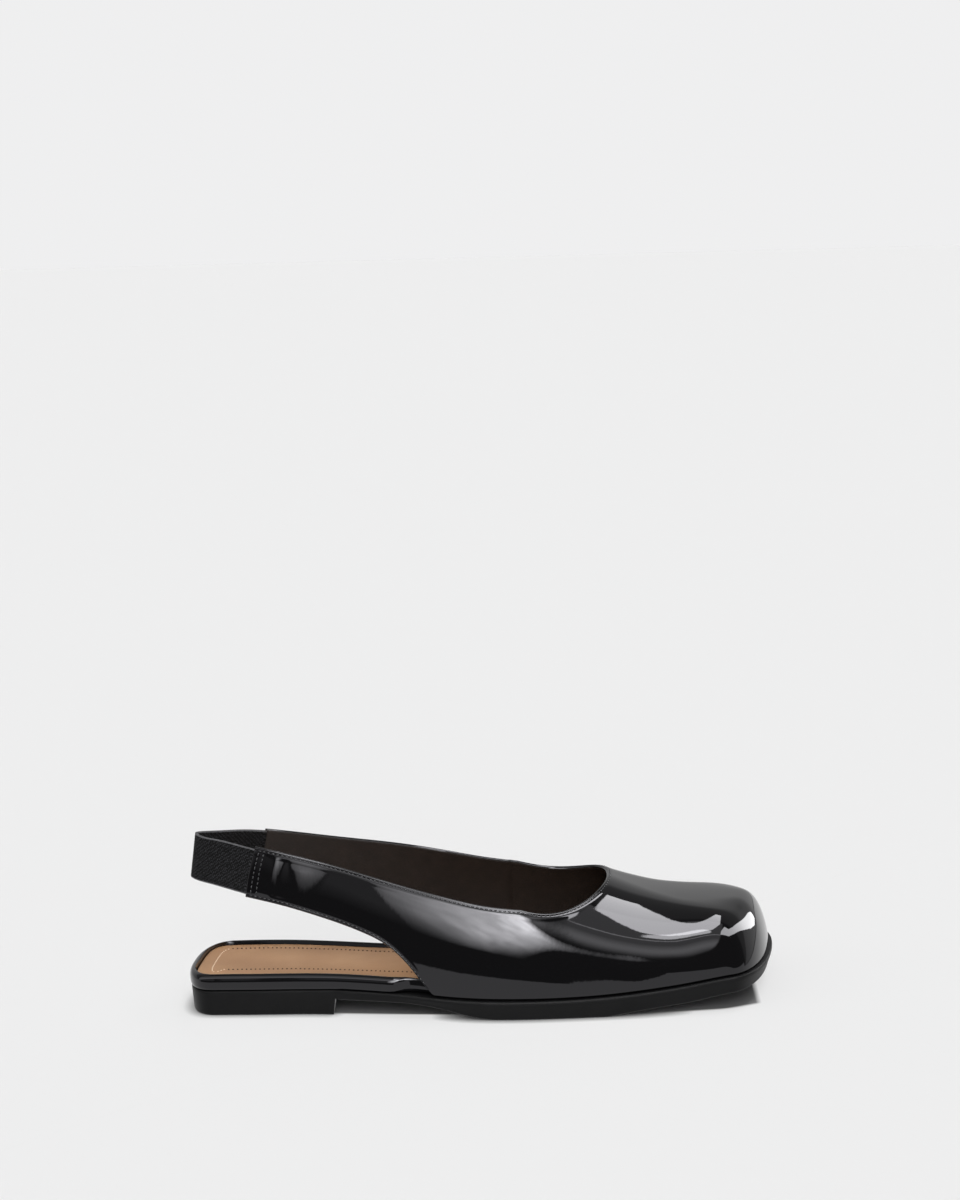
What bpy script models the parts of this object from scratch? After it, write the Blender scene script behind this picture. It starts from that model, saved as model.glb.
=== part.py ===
"""A square-toed slingback flat for the right foot, EU 37, in metres.

While it is built, +X runs to the toe, the lateral side is at -Y and the floor is at z = 0, with the
back of the heel at x = 0. The finished shoe is centred over its own box. Sizes are in millimetres.
"""

import math

import bmesh
import bpy
import numpy as np

MM = 0.001
GAP = 0.3

LATERAL = -1
MEDIAL = 1
SIDES = (LATERAL, MEDIAL)
SIDE_NAME = {LATERAL: "lateral", MEDIAL: "medial"}

SOLE_LENGTH = 247.5
HEEL_CAP = 15.0
HEEL_SQUARENESS = 2.5
TOE_CAP = 16.0
TOE_SQUARENESS = 2.3
TOE_SLANT = 0.17
TOE_SLANT_FROM = 185.0
HEEL_SLANT = 0.09
HEEL_SLANT_TO = 45.0
HEEL_BREAST = 61.2
BREAST_RUN = 0.8
HEEL_TAPER = 1.0
HEEL_TAPER_RUN = 4.0
HEEL_SEAT = 10.7
HEEL_SEAT_TO = 50.0
HEEL_SEAT_RUN = 15.0
TREAD_INSET = 0.5
BALL_TUCK = 1.1
BALL_TUCK_FROM = 81.0
BALL_TUCK_RUN = 40.0

UPPER_WALL = 1.8
SEAM_X = 137.0
SEAM_STEP = 0.6
SEAM_RUN = 0.8
ELASTIC_WALL = 1.2
BOARD_OUT = 0.3
BOARD_IN = 4.5
BOARD_TUCK_FROM = 83.0
BOARD_TUCK_RUN = 14.0
SOCK = 1.0
SOCK_SQUARENESS = 3.6
LIP_OUT = 3.4
LIP_IN = 1.2

THROAT_BACK = 140.0
THROAT_TIP = 177.8
THROAT_SQUARENESS = 2.4
TOE_ROUNDING = 7.0
TOE_PULL = 22.0
TOE_PULL_FROM = 178.0

STRAP_END = 27.0
STRAP_SLANT = 4.5
STRAP_SLANT_RUN = 22.0

CAP_POINTS = 9
UPPER_ROWS = 12
UPPER_ROW_SPREAD = 2.2
ELASTIC_COLUMNS = 41
ELASTIC_ROWS = 4


def table(names, *rows):
    """Rows of numbers as named columns."""
    return dict(zip(names.split(), np.array(rows, float).T))


OUTLINE = table(
    "x lateral medial ridge",
    (0, 26.0, 28.5, 1.0),
    (15, 26.6, 29.0, 1.0),
    (30, 27.7, 28.6, 1.0),
    (45, 28.4, 27.0, 1.0),
    (60, 29.9, 24.0, 1.0),
    (75, 33.0, 20.8, 1.0),
    (90, 36.6, 18.6, 1.0),
    (105, 40.2, 18.8, 1.0),
    (120, 43.0, 22.8, 1.5),
    (140, 44.6, 31.5, 2.5),
    (160, 44.3, 38.5, 3.5),
    (180, 43.5, 41.8, 3.5),
    (200, 42.9, 42.0, 2.5),
    (217, 41.6, 40.4, 1.5),
    (232, 39.6, 38.0, 0.5),
)

SOLE = table(
    "x bottom top",
    (65, 6.7, 10.9),
    (78, 6.6, 10.6),
    (90, 6.4, 10.2),
    (103, 4.9, 9.3),
    (112, 2.8, 8.7),
    (119, 1.2, 8.4),
    (126, 0.2, 8.2),
    (134, -0.3, 8.1),
    (155, -0.5, 8.1),
    (171, -0.3, 8.6),
    (180, 0.8, 9.2),
    (194, 2.9, 10.6),
    (211, 4.8, 12.4),
    (226, 6.8, 14.0),
    (248, 9.2, 16.0),
)

FOOTBED = table(
    "x top rim",
    (0, 17.4, 1.6),
    (60, 17.4, 1.6),
    (76, 17.2, 1.6),
    (86, 16.9, 1.4),
    (94, 16.4, 1.0),
    (100, 15.7, 0.7),
    (106, 14.8, 0.4),
    (125, 12.2, 0.0),
    (160, 11.3, 0.0),
    (194, 13.8, 0.0),
    (211, 15.6, 0.0),
    (226, 17.2, 0.0),
    (248, 19.2, 0.0),
)

LAST = table(
    "x crown drop reach flat wall inset swell_lateral swell_medial",
    (20, 116.0, 0.0, 1.00, 2.2, 0.40, 3.2, 0.5, 0.5),
    (40, 105.0, 0.0, 1.00, 2.2, 0.40, 0.6, 0.8, 1.5),
    (60, 96.0, 0.0, 1.00, 2.2, 0.40, 0.3, 1.0, 4.0),
    (80, 88.0, 0.0, 1.00, 2.2, 0.40, 0.8, 1.2, 7.5),
    (100, 81.0, 0.0, 1.00, 2.2, 0.42, 1.4, 1.2, 9.0),
    (120, 74.5, 0.0, 1.00, 2.2, 0.44, 1.7, 1.2, 7.0),
    (140, 67.0, 0.0, 1.00, 2.2, 0.46, 1.7, 1.2, 3.5),
    (160, 58.0, 0.0, 1.00, 2.2, 0.48, 1.7, 1.2, 1.8),
    (180, 49.4, 0.5, 0.92, 2.3, 0.52, 1.7, 1.2, 1.2),
    (200, 43.2, 1.5, 0.76, 2.4, 0.56, 1.7, 0.8, 0.8),
    (220, 40.9, 2.5, 0.50, 2.5, 0.62, 1.7, 0.4, 0.4),
    (248, 41.6, 3.0, 0.33, 2.5, 0.70, 1.7, 0.0, 0.0),
)

TOPLINE = table(
    "x lateral medial",
    (27, 72.3, 68.7),
    (50, 66.7, 65.8),
    (70, 61.3, 63.7),
    (90, 55.6, 61.6),
    (110, 50.4, 58.0),
    (125, 47.0, 54.2),
    (140, 44.9, 51.0),
)

STRAP_EDGE = table(
    "x lateral medial",
    (27, 50.3, 47.2),
    (41, 47.0, 45.2),
    (57, 42.1, 42.0),
    (66, 39.1, 39.2),
    (74, 36.1, 36.2),
    (82, 32.3, 32.4),
    (88, 27.8, 27.9),
    (94, 21.3, 21.3),
    (98, 16.0, 16.0),
    (103, 9.6, 9.6),
)

ELASTIC = table(
    "x y low high lean inward",
    (25.3, -23.9, 51.8, 70.2, 4.0, 2.2),
    (18.4, -18.9, 52.6, 71.1, 3.8, 1.8),
    (10.6, -12.6, 53.3, 71.9, 3.4, 1.2),
    (3.8, -6.6, 53.8, 72.2, 3.0, 0.6),
    (1.0, 0.0, 54.0, 72.6, 2.6, 0.0),
    (4.0, 6.4, 53.2, 71.8, 3.0, 0.6),
    (11.0, 12.6, 51.6, 70.6, 3.4, 1.2),
    (19.6, 19.4, 50.0, 69.2, 3.8, 1.8),
    (26.4, 24.4, 48.8, 67.6, 4.0, 2.2),
)

PATENT = (0.012, 0.011, 0.012)
RUBBER = (0.022, 0.022, 0.023)
TAN = (0.46, 0.31, 0.19)
KNIT = (0.016, 0.015, 0.016)


def smooth(rows, name, at):
    """One column of a table as a natural cubic spline over x, level past its ends."""
    x = rows["x"]
    y = rows[name]
    step = np.diff(x)
    count = len(x)
    system = np.eye(count)
    right = np.zeros(count)
    for i in range(1, count - 1):
        system[i, i - 1 : i + 2] = step[i - 1], 2 * (step[i - 1] + step[i]), step[i]
        right[i] = 6 * ((y[i + 1] - y[i]) / step[i] - (y[i] - y[i - 1]) / step[i - 1])
    bend = np.linalg.solve(system, right)
    at = np.clip(np.asarray(at, float), x[0], x[-1])
    i = np.clip(np.searchsorted(x, at, side="right") - 1, 0, count - 2)
    a = (x[i + 1] - at) / step[i]
    b = 1 - a
    curved = ((a**3 - a) * bend[i] + (b**3 - b) * bend[i + 1]) * step[i] ** 2 / 6
    return a * y[i] + b * y[i + 1] + curved


def ease(value):
    """0 to 1 with level, evenly curved ends."""
    value = np.clip(value, 0, 1)
    return value**3 * (10 - 15 * value + 6 * value**2)


def cap(count, squareness):
    """Superellipse from its tip to its full breadth: forward and breadth shares."""
    angle = np.linspace(0, math.pi / 2, count)
    forward = np.cos(angle) ** (2 / squareness)
    breadth = np.sin(angle) ** (2 / squareness)
    return np.stack([forward, breadth], axis=1)


def stations(middle, heel_squareness=HEEL_SQUARENESS):
    """Stations from heel to toe: the x of the section, its share of breadth, and how far its cap runs on."""
    rows = [(x, 1.0, 0.0) for x in middle]
    if heel_squareness:
        back = cap(CAP_POINTS, heel_squareness)[:-1]
        rows = [(HEEL_CAP, breadth, -HEEL_CAP * forward) for forward, breadth in back] + rows
    front = cap(CAP_POINTS, TOE_SQUARENESS)[:-1][::-1]
    toe = SOLE_LENGTH - TOE_CAP
    rows += [(toe, breadth, TOE_CAP * forward) for forward, breadth in front]
    return np.array(rows)


def slanted(x, y):
    """The slant of the toe's front, whose medial end is the longer, and of the heel's back."""
    toe = TOE_SLANT * ease((x - TOE_SLANT_FROM) / (SOLE_LENGTH - TOE_SLANT_FROM))
    heel = HEEL_SLANT * ease(1 - x / HEEL_SLANT_TO)
    return x + (toe + heel) * y


def plan(side, station, inset, share=0.0):
    """A point of the plan before the slant, inset from the sole's edge and then a share of the way
    to the ridge line."""
    x, breadth, run_on = np.asarray(station, float).T
    ridge = smooth(OUTLINE, "ridge", x)
    half = smooth(OUTLINE, SIDE_NAME[side], x) - side * ridge
    y = ridge + side * (half - inset) * breadth * (1 - share)
    size = np.where(run_on < 0, HEEL_CAP, TOE_CAP)
    rounding = 4 * TOE_ROUNDING * share * (1 - share)
    forward = run_on / size * ((size - inset) * (1 - share) + rounding)
    pull = ease((x - TOE_PULL_FROM) / (SOLE_LENGTH - TOE_CAP - TOE_PULL_FROM))
    return x + forward - pull * (TOE_PULL * share + rounding), y


def last_point(side, station, share):
    """The outer surface of the upper, at a share of the way from the feather line to the ridge."""
    x = station[..., 0]
    inset = smooth(LAST, "inset", x)
    if side == MEDIAL:
        inset = inset + SEAM_STEP * ease((SEAM_X - x) / SEAM_RUN)
    x, y = plan(side, station, inset, share)
    left = 1 - np.minimum(share / smooth(LAST, "reach", x), 1)
    rise = (1 - left ** smooth(LAST, "flat", x)) ** smooth(LAST, "wall", x)
    crown = smooth(LAST, "crown", x) - smooth(LAST, "drop", x) * (1 - share) ** 2
    foot = smooth(SOLE, "top", x) + GAP
    swell = smooth(LAST, "swell_" + SIDE_NAME[side], x) * np.sin(math.pi * rise**0.65)
    y = y + side * swell * station[..., 1] * (1 - share)
    z = foot + (crown - foot) * rise
    return np.stack([slanted(x, y), y, z], axis=-1)


def share_at(x, z):
    """The share at which a section behind the throat reaches a height."""
    foot = smooth(SOLE, "top", x) + GAP
    rise = np.clip((z - foot) / (smooth(LAST, "crown", x) - foot), 0, 1)
    left = (1 - rise ** (1 / smooth(LAST, "wall", x))) ** (1 / smooth(LAST, "flat", x))
    return (1 - left) * smooth(LAST, "reach", x)


def topline_share(side, x):
    """Where the topline crosses each section: by its height behind the throat, then round the throat."""
    name = SIDE_NAME[side]
    share = share_at(x, smooth(TOPLINE, name, x))
    start = share_at(np.array(THROAT_BACK), smooth(TOPLINE, name, THROAT_BACK))
    along = np.clip((x - THROAT_BACK) / (THROAT_TIP - THROAT_BACK), 0, 1)
    bow = (1 - along**THROAT_SQUARENESS) ** (1 / THROAT_SQUARENESS)
    return np.where(x <= THROAT_BACK, share, 1 - (1 - start) * bow)


def edge_share(side, x):
    """Where the lower edge crosses each section: on the strap's own edge, then on the sole."""
    low = smooth(STRAP_EDGE, SIDE_NAME[side], x)
    return np.where(x < STRAP_EDGE["x"][-1], share_at(x, low), 0.0)


def new_object(name, mesh, colour, roughness):
    material = bpy.data.materials.new(name + "_finish")
    material.use_nodes = True
    shader = material.node_tree.nodes["Principled BSDF"]
    shader.inputs["Base Color"].default_value = (*colour, 1)
    shader.inputs["Roughness"].default_value = roughness
    mesh.materials.append(material)
    piece = bpy.data.objects.new(name, mesh)
    shoe.objects.link(piece)
    return piece


def grid_mesh(name, grids, weld=2e-6):
    """A smooth mesh of one or more grids of points in millimetres, welded where they meet."""
    shape = bmesh.new()
    for grid in grids:
        points = [[shape.verts.new(point * MM) for point in row] for row in grid]
        for row, next_row in zip(points, points[1:]):
            for a, b, c, d in zip(row, row[1:], next_row[1:], next_row):
                shape.faces.new((a, b, c, d))
    bmesh.ops.remove_doubles(shape, verts=shape.verts, dist=weld)
    bmesh.ops.recalc_face_normals(shape, faces=shape.faces)
    mesh = bpy.data.meshes.new(name)
    shape.to_mesh(mesh)
    shape.free()
    mesh.shade_smooth()
    return mesh


def slab_mesh(name, middle, levels):
    """A closed solid from level rings round the outline, each an inset and a height for every station."""
    rings = []
    for inset, height, *squareness in levels:
        places = stations(middle, *squareness)
        inset = inset(places[:, 0])
        z = height(places[:, 0] + places[:, 2])
        edges = [plan(side, places, inset) for side in SIDES]
        near, far = (np.stack([slanted(x, y), y, z], axis=1) for x, y in edges)
        rings.append(np.concatenate([near, far[::-1][1:]]))
    half = len(places)
    sides = [np.array(rings)]
    ends = [np.array([ring[:half], ring[half - 1 :][::-1]]) for ring in (rings[0], rings[-1])]
    return grid_mesh(name, sides + ends)


def sole_bottom(x):
    """The tread: flat under the heel block, stepped up at the breast, flat again under the ball."""
    arch = np.maximum(smooth(SOLE, "bottom", x), 0)
    return arch * np.clip((x - HEEL_BREAST) / BREAST_RUN, 0, 1)


def sole_top(x):
    """The seat of the board and of the upper: level over the heel block."""
    share = ease((x - HEEL_SEAT_TO) / HEEL_SEAT_RUN)
    return HEEL_SEAT + (smooth(SOLE, "top", x) - HEEL_SEAT) * share


def heel_taper(x):
    """The heel block draws in a little towards the floor."""
    return HEEL_TAPER * ease((HEEL_BREAST + HEEL_TAPER_RUN - x) / HEEL_TAPER_RUN)


def tread_edge(x):
    """The side's foot turns under a little more at the ball than at the heel."""
    return TREAD_INSET + heel_taper(x) + BALL_TUCK * ease((x - BALL_TUCK_FROM) / BALL_TUCK_RUN)


def top_edge(x):
    """The side leans back out over the heel's taper on its way up."""
    return 0.1 + 0.8 * heel_taper(x)


def build_outsole():
    heel = (HEEL_CAP, 22, 32, 42, 52, 58, HEEL_BREAST, HEEL_BREAST + BREAST_RUN)
    waist = (66, 70, 78, 86, 94, 100, 106, 112, 117, 122, 127, 133)
    fore = (142, 152, 162, 171, 177, 184, 192, 200, 208, 216, 224, SOLE_LENGTH - TOE_CAP)
    levels = (
        (lambda x: tread_edge(x) + 1.2, sole_bottom),
        (lambda x: tread_edge(x) + 0.5, lambda x: sole_bottom(x) + 0.3),
        (lambda x: tread_edge(x), lambda x: sole_bottom(x) + 1.2),
        (lambda x: top_edge(x), lambda x: sole_top(x) - 1.4),
        (lambda x: top_edge(x) + 0.1, lambda x: sole_top(x) - 0.5),
        (lambda x: top_edge(x) + 0.7, sole_top),
    )
    mesh = slab_mesh("outsole", heel + waist + fore, levels)
    new_object("outsole", mesh, RUBBER, 0.5)


def footbed_top(x):
    return smooth(FOOTBED, "top", x)


def footbed_edge(x):
    """At the sole's own edge round the heel, and within the upper's wall from the quarters forward."""
    return BOARD_OUT + (BOARD_IN - BOARD_OUT) * ease((x - BOARD_TUCK_FROM) / BOARD_TUCK_RUN)


def lip(share):
    """The inset at a share of the lip's breadth, from the board's edge to the sock's."""

    def inset(x):
        breadth = LIP_OUT + (LIP_IN - LIP_OUT) * ease((x - BOARD_TUCK_FROM) / BOARD_TUCK_RUN)
        return footbed_edge(x) + breadth * share

    return inset


def footbed_floor(x):
    """The face under the sock, below the rim by the rim's height and the sock's own thickness."""
    return footbed_top(x) - smooth(FOOTBED, "rim", x) - SOCK - GAP


def build_footbed():
    back = (HEEL_CAP, 22, 32, 44, 56, 66, 74, 80, 85, 89, 93, 97, 101, 106)
    fore = (113, 121, 131, 142, 155, 168, 180, 190, 200, 209, 218, 225, SOLE_LENGTH - TOE_CAP)

    def seat(x):
        return sole_top(x) + GAP

    def level(share):
        return lambda x: seat(x) + (footbed_top(x) - seat(x)) * share

    levels = (
        (lambda x: footbed_edge(x) + 0.9, seat),
        (lambda x: footbed_edge(x) + 0.2, level(0.12)),
        (footbed_edge, level(0.45)),
        (lambda x: footbed_edge(x) + 0.1, level(0.70)),
        (lip(0.24), level(0.91)),
        (lip(0.58), footbed_top),
        (lip(0.82), level(0.95), SOCK_SQUARENESS),
        (lip(1.0), footbed_floor, SOCK_SQUARENESS),
    )
    mesh = slab_mesh("footbed", back + fore, levels)
    new_object("footbed", mesh, PATENT, 0.12)


def build_sock():
    back = (HEEL_CAP, 22, 32, 44, 56, 66, 76, 86, 94, 102)
    fore = (113, 124, 136, 148, 162, 176, 190, 202, 213, 223, SOLE_LENGTH - TOE_CAP)

    def level_edge(clear):
        return lambda x: lip(1.0)(x) + clear

    levels = (
        (level_edge(0.7), lambda x: footbed_floor(x) + GAP, SOCK_SQUARENESS),
        (level_edge(0.4), lambda x: footbed_floor(x) + GAP + 0.3, SOCK_SQUARENESS),
        (level_edge(0.4), lambda x: footbed_floor(x) + GAP + SOCK - 0.3, SOCK_SQUARENESS),
        (level_edge(0.7), lambda x: footbed_floor(x) + GAP + SOCK, SOCK_SQUARENESS),
    )
    mesh = slab_mesh("insole_sock", back + fore, levels)
    new_object("insole_sock", mesh, TAN, 0.55)


def upper_stations(side):
    strap = np.array((27, 33, 40, 48, 56, 64, 71, 77, 82, 86.5, 90.5, 94, 97, 100, 103))
    quarter = np.array((108, 114, 120, 126, 131, 135.5))
    seam = np.array((SEAM_X - SEAM_RUN, SEAM_X))
    bow = np.sin(np.linspace(0, math.pi / 2, 10)) ** (2 / THROAT_SQUARENESS)
    throat = THROAT_BACK + (THROAT_TIP - THROAT_BACK) * bow
    vamp = np.array((184, 190, 197, 204, 211, 218, 225))
    middle = np.concatenate([strap, quarter, seam, throat, vamp, [SOLE_LENGTH - TOE_CAP]])
    return stations(middle, heel_squareness=None)


def upper_grid(side):
    """Sections of the upper from its lower edge to the topline or the ridge, strap end to toe."""
    places = upper_stations(side)
    x = places[:, 0]
    rows = []
    for part in np.linspace(0, 1, UPPER_ROWS):
        slant = STRAP_SLANT * part * (1 - ease((x - STRAP_END) / STRAP_SLANT_RUN))
        here = places.copy()
        here[:, 0] = x + slant
        low = edge_share(side, here[:, 0]) ** (1 / UPPER_ROW_SPREAD)
        high = topline_share(side, here[:, 0]) ** (1 / UPPER_ROW_SPREAD)
        share = (low + (high - low) * part) ** UPPER_ROW_SPREAD
        rows.append(last_point(side, here, share))
    return np.array(rows)


def build_upper():
    mesh = grid_mesh("upper", [upper_grid(side) for side in SIDES], weld=2e-5)
    upper = new_object("upper", mesh, PATENT, 0.08)
    wall = upper.modifiers.new("wall", "SOLIDIFY")
    wall.thickness = UPPER_WALL * MM
    wall.offset = -1
    wall.use_even_offset = False
    wall.use_quality_normals = True


def elastic_grid():
    """The band's outer face from the lateral strap end round the heel, low edge first."""
    steps = np.hypot(np.diff(ELASTIC["x"]), np.diff(ELASTIC["y"]))
    path = dict(ELASTIC, x=np.concatenate([[0], np.cumsum(steps)]), run=ELASTIC["x"])
    at = np.linspace(0, path["x"][-1], ELASTIC_COLUMNS)
    x, y, low, high, lean, inward = (
        smooth(path, name, at) for name in ("run", "y", "low", "high", "lean", "inward")
    )
    grid = []
    for part in np.linspace(0, 1, ELASTIC_ROWS):
        z = low + (high - low) * part
        grid.append(np.stack([x + lean * part, y - np.sign(y) * inward * part, z], axis=1))
    return np.array(grid)


def build_elastic():
    """The stretch band between the two strap ends."""
    mesh = grid_mesh("back_elastic", [elastic_grid()])
    band = new_object("back_elastic", mesh, KNIT, 0.85)
    wall = band.modifiers.new("wall", "SOLIDIFY")
    wall.thickness = ELASTIC_WALL * MM
    wall.offset = -1


def centre_shoe():
    """The finished shoe stands with the middle of its box over the origin."""
    bpy.context.view_layer.update()
    corners = np.array([piece.matrix_world @ v.co for piece in shoe.objects for v in piece.data.vertices])
    middle = (corners.min(axis=0) + corners.max(axis=0)) / 2
    for piece in shoe.objects:
        for vertex in piece.data.vertices:
            vertex.co.x -= middle[0]
            vertex.co.y -= middle[1]


for leftover in list(bpy.data.objects):
    bpy.data.objects.remove(leftover)
shoe = bpy.data.collections.new("slingback_flat")
bpy.context.scene.collection.children.link(shoe)
build_outsole()
build_footbed()
build_sock()
build_upper()
build_elastic()
centre_shoe()
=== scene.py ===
"""A square-toed slingback flat in black patent leather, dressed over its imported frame.

The shape tables and the rules that read them are those of the part's own source. Lengths here are in
millimetres from the back of the heel, +X to the toe and the lateral side at -Y, until place() moves
them into the frame's metres. The camera, the floor and the panel are in the frame's metres throughout.
"""

import math

import bmesh
import bpy
import numpy as np
from mathutils import Matrix, Vector, noise


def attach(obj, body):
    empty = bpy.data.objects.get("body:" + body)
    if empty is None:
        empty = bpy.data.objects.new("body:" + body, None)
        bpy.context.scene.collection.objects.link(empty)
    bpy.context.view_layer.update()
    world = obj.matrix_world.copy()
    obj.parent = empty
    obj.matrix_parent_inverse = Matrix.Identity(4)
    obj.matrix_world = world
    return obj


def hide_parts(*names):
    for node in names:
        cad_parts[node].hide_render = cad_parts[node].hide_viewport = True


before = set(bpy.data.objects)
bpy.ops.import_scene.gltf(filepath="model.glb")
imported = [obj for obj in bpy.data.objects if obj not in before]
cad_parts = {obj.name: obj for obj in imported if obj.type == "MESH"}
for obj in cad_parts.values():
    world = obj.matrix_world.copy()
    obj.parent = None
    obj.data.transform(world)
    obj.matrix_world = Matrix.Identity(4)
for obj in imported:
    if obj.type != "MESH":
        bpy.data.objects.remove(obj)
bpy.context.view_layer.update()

MM = 0.001
SHIFT = np.array([124.573, -1.204, 0.0])
GAP = 0.3

LATERAL = -1
MEDIAL = 1
SIDES = (LATERAL, MEDIAL)
SIDE_NAME = {LATERAL: "lateral", MEDIAL: "medial"}

SOLE_LENGTH = 247.5
HEEL_CAP = 15.0
HEEL_SQUARENESS = 2.5
TOE_CAP = 16.0
TOE_SQUARENESS = 2.3
TOE_SLANT = 0.17
TOE_SLANT_FROM = 185.0
HEEL_SLANT = 0.09
HEEL_SLANT_TO = 45.0
HEEL_BREAST = 61.2
BREAST_RUN = 0.8
HEEL_TAPER = 1.0
HEEL_TAPER_RUN = 4.0
HEEL_SEAT = 10.7
HEEL_SEAT_TO = 50.0
HEEL_SEAT_RUN = 15.0
TREAD_INSET = 0.5
BALL_TUCK = 1.1
BALL_TUCK_FROM = 81.0
BALL_TUCK_RUN = 40.0

UPPER_WALL = 1.8
SEAM_X = 137.0
SEAM_STEP = 0.6
SEAM_RUN = 0.8
ELASTIC_WALL = 1.2
BOARD_OUT = 0.3
BOARD_IN = 4.5
BOARD_TUCK_FROM = 83.0
BOARD_TUCK_RUN = 14.0
SOCK = 1.0
SOCK_SQUARENESS = 3.6
LIP_OUT = 3.4
LIP_IN = 1.2

THROAT_BACK = 140.0
THROAT_TIP = 177.8
THROAT_SQUARENESS = 2.4
TOE_ROUNDING = 7.0
TOE_PULL = 22.0
TOE_PULL_FROM = 178.0

STRAP_START = 27.0
STRAP_SLANT = 4.5
STRAP_SLANT_RUN = 22.0


def table(names, *rows):
    """Rows of numbers as named columns."""
    return dict(zip(names.split(), np.array(rows, float).T))


OUTLINE = table(
    "x lateral medial ridge",
    (0, 26.0, 28.5, 1.0),
    (15, 26.6, 29.0, 1.0),
    (30, 27.7, 28.6, 1.0),
    (45, 28.4, 27.0, 1.0),
    (60, 29.9, 24.0, 1.0),
    (75, 33.0, 20.8, 1.0),
    (90, 36.6, 18.6, 1.0),
    (105, 40.2, 18.8, 1.0),
    (120, 43.0, 22.8, 1.5),
    (140, 44.6, 31.5, 2.5),
    (160, 44.3, 38.5, 3.5),
    (180, 43.5, 41.8, 3.5),
    (200, 42.9, 42.0, 2.5),
    (217, 41.6, 40.4, 1.5),
    (232, 39.6, 38.0, 0.5),
)

SOLE = table(
    "x bottom top",
    (65, 6.7, 10.9),
    (78, 6.6, 10.6),
    (90, 6.4, 10.2),
    (103, 4.9, 9.3),
    (112, 2.8, 8.7),
    (119, 1.2, 8.4),
    (126, 0.2, 8.2),
    (134, -0.3, 8.1),
    (155, -0.5, 8.1),
    (171, -0.3, 8.6),
    (180, 0.8, 9.2),
    (194, 2.9, 10.6),
    (211, 4.8, 12.4),
    (226, 6.8, 14.0),
    (248, 9.2, 16.0),
)

FOOTBED = table(
    "x top rim",
    (0, 17.4, 1.6),
    (60, 17.4, 1.6),
    (76, 17.2, 1.6),
    (86, 16.9, 1.4),
    (94, 16.4, 1.0),
    (100, 15.7, 0.7),
    (106, 14.8, 0.4),
    (125, 12.2, 0.0),
    (160, 11.3, 0.0),
    (194, 13.8, 0.0),
    (211, 15.6, 0.0),
    (226, 17.2, 0.0),
    (248, 19.2, 0.0),
)

LAST = table(
    "x crown drop reach flat wall inset swell_lateral swell_medial",
    (20, 116.0, 0.0, 1.00, 2.2, 0.40, 3.2, 0.5, 0.5),
    (40, 105.0, 0.0, 1.00, 2.2, 0.40, 0.6, 0.8, 1.5),
    (60, 96.0, 0.0, 1.00, 2.2, 0.40, 0.3, 1.0, 4.0),
    (80, 88.0, 0.0, 1.00, 2.2, 0.40, 0.8, 1.2, 7.5),
    (100, 81.0, 0.0, 1.00, 2.2, 0.42, 1.4, 1.2, 9.0),
    (120, 74.5, 0.0, 1.00, 2.2, 0.44, 1.7, 1.2, 7.0),
    (140, 67.0, 0.0, 1.00, 2.2, 0.46, 1.7, 1.2, 3.5),
    (160, 58.0, 0.0, 1.00, 2.2, 0.48, 1.7, 1.2, 1.8),
    (180, 49.4, 0.5, 0.92, 2.3, 0.52, 1.7, 1.2, 1.2),
    (200, 43.2, 1.5, 0.76, 2.4, 0.56, 1.7, 0.8, 0.8),
    (220, 40.9, 2.5, 0.50, 2.5, 0.62, 1.7, 0.4, 0.4),
    (248, 41.6, 3.0, 0.33, 2.5, 0.70, 1.7, 0.0, 0.0),
)

TOPLINE = table(
    "x lateral medial",
    (27, 72.3, 68.7),
    (50, 66.7, 65.8),
    (70, 61.3, 63.7),
    (90, 55.6, 61.6),
    (110, 50.4, 58.0),
    (125, 47.0, 54.2),
    (140, 44.9, 51.0),
)

STRAP_EDGE = table(
    "x lateral medial",
    (27, 50.3, 47.2),
    (41, 47.0, 45.2),
    (57, 42.1, 42.0),
    (66, 39.1, 39.2),
    (74, 36.1, 36.2),
    (82, 32.3, 32.4),
    (88, 27.8, 27.9),
    (94, 21.3, 21.3),
    (98, 16.0, 16.0),
    (103, 9.6, 9.6),
)

ELASTIC = table(
    "x y low high lean inward",
    (25.3, -23.9, 51.8, 70.2, 4.0, 2.2),
    (18.4, -18.9, 52.6, 71.1, 3.8, 1.8),
    (10.6, -12.6, 53.3, 71.9, 3.4, 1.2),
    (3.8, -6.6, 53.8, 72.2, 3.0, 0.6),
    (1.0, 0.0, 54.0, 72.6, 2.6, 0.0),
    (4.0, 6.4, 53.2, 71.8, 3.0, 0.6),
    (11.0, 12.6, 51.6, 70.6, 3.4, 1.2),
    (19.6, 19.4, 50.0, 69.2, 3.8, 1.8),
    (26.4, 24.4, 48.8, 67.6, 4.0, 2.2),
)


def smooth(rows, name, at):
    """One column of a table as a natural cubic spline over x, level past its ends."""
    x = rows["x"]
    y = rows[name]
    step = np.diff(x)
    count = len(x)
    system = np.eye(count)
    right = np.zeros(count)
    for i in range(1, count - 1):
        system[i, i - 1 : i + 2] = step[i - 1], 2 * (step[i - 1] + step[i]), step[i]
        right[i] = 6 * ((y[i + 1] - y[i]) / step[i] - (y[i] - y[i - 1]) / step[i - 1])
    bend = np.linalg.solve(system, right)
    at = np.clip(np.asarray(at, float), x[0], x[-1])
    i = np.clip(np.searchsorted(x, at, side="right") - 1, 0, count - 2)
    a = (x[i + 1] - at) / step[i]
    b = 1 - a
    curved = ((a**3 - a) * bend[i] + (b**3 - b) * bend[i + 1]) * step[i] ** 2 / 6
    return a * y[i] + b * y[i + 1] + curved


def ease(value):
    """0 to 1 with level, evenly curved ends."""
    value = np.clip(value, 0, 1)
    return value**3 * (10 - 15 * value + 6 * value**2)


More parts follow.
